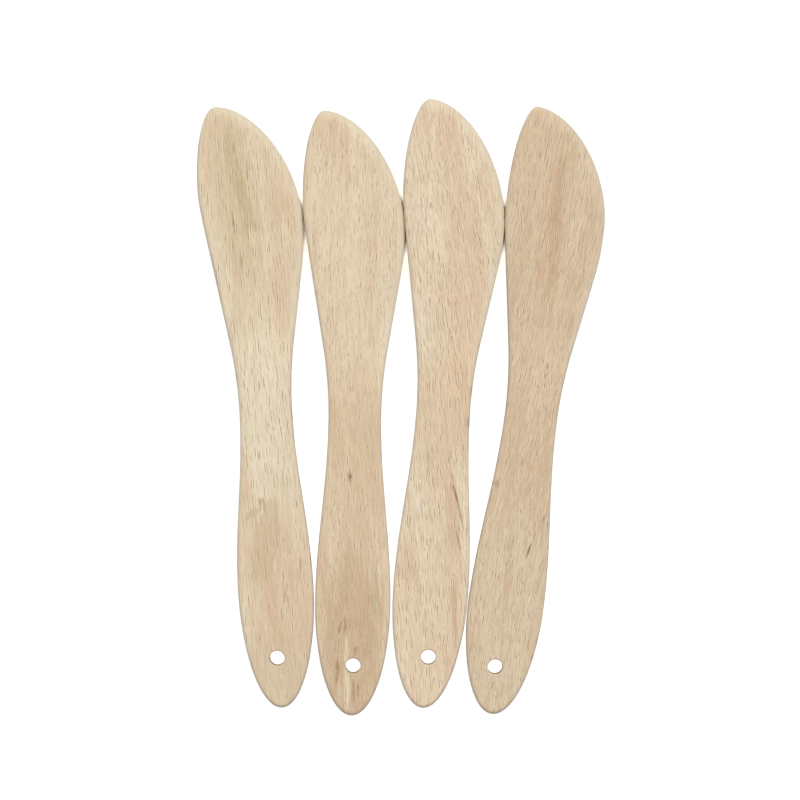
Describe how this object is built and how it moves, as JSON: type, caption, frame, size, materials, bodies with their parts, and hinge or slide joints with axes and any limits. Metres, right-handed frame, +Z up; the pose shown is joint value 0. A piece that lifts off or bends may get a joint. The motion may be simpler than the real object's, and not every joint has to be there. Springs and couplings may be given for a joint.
{
  "type": "butter knife set",
  "caption": "Wooden butter knives lying side by side, each with a rounded spreading blade, a narrow neck and an oval handle with a hanging hole",
  "frame": {"origin": "bottom centre of the set's bounding box, on the surface that the knives lie on", "axes": "+Z up off the table, +Y from the butts towards the blades' tips, +X from the first knife to the last"},
  "size_m": [0.1342, 0.2028, 0.006],
  "materials": {
    "beech_1": "bare sanded beech, creamy",
    "beech_2": "bare sanded beech, warm",
    "beech_3": "bare sanded beech, pale",
    "beech_4": "bare sanded beech, tan"
  },
  "bodies": {
    "knife_1": {"knife_1": "beech_1"},
    "knife_2": {"knife_2": "beech_2"},
    "knife_3": {"knife_3": "beech_3"},
    "knife_4": {"knife_4": "beech_4"}
  },
  "joints": [
    {"name": "lift_knife_2", "type": "slide", "parent": "knife_1", "child": "knife_2", "axis": [0, 0, 1], "range_m": [0, 0.05]},
    {"name": "lift_knife_3", "type": "slide", "parent": "knife_1", "child": "knife_3", "axis": [0, 0, 1], "range_m": [0, 0.05]},
    {"name": "lift_knife_4", "type": "slide", "parent": "knife_1", "child": "knife_4", "axis": [0, 0, 1], "range_m": [0, 0.05]}
  ]
}
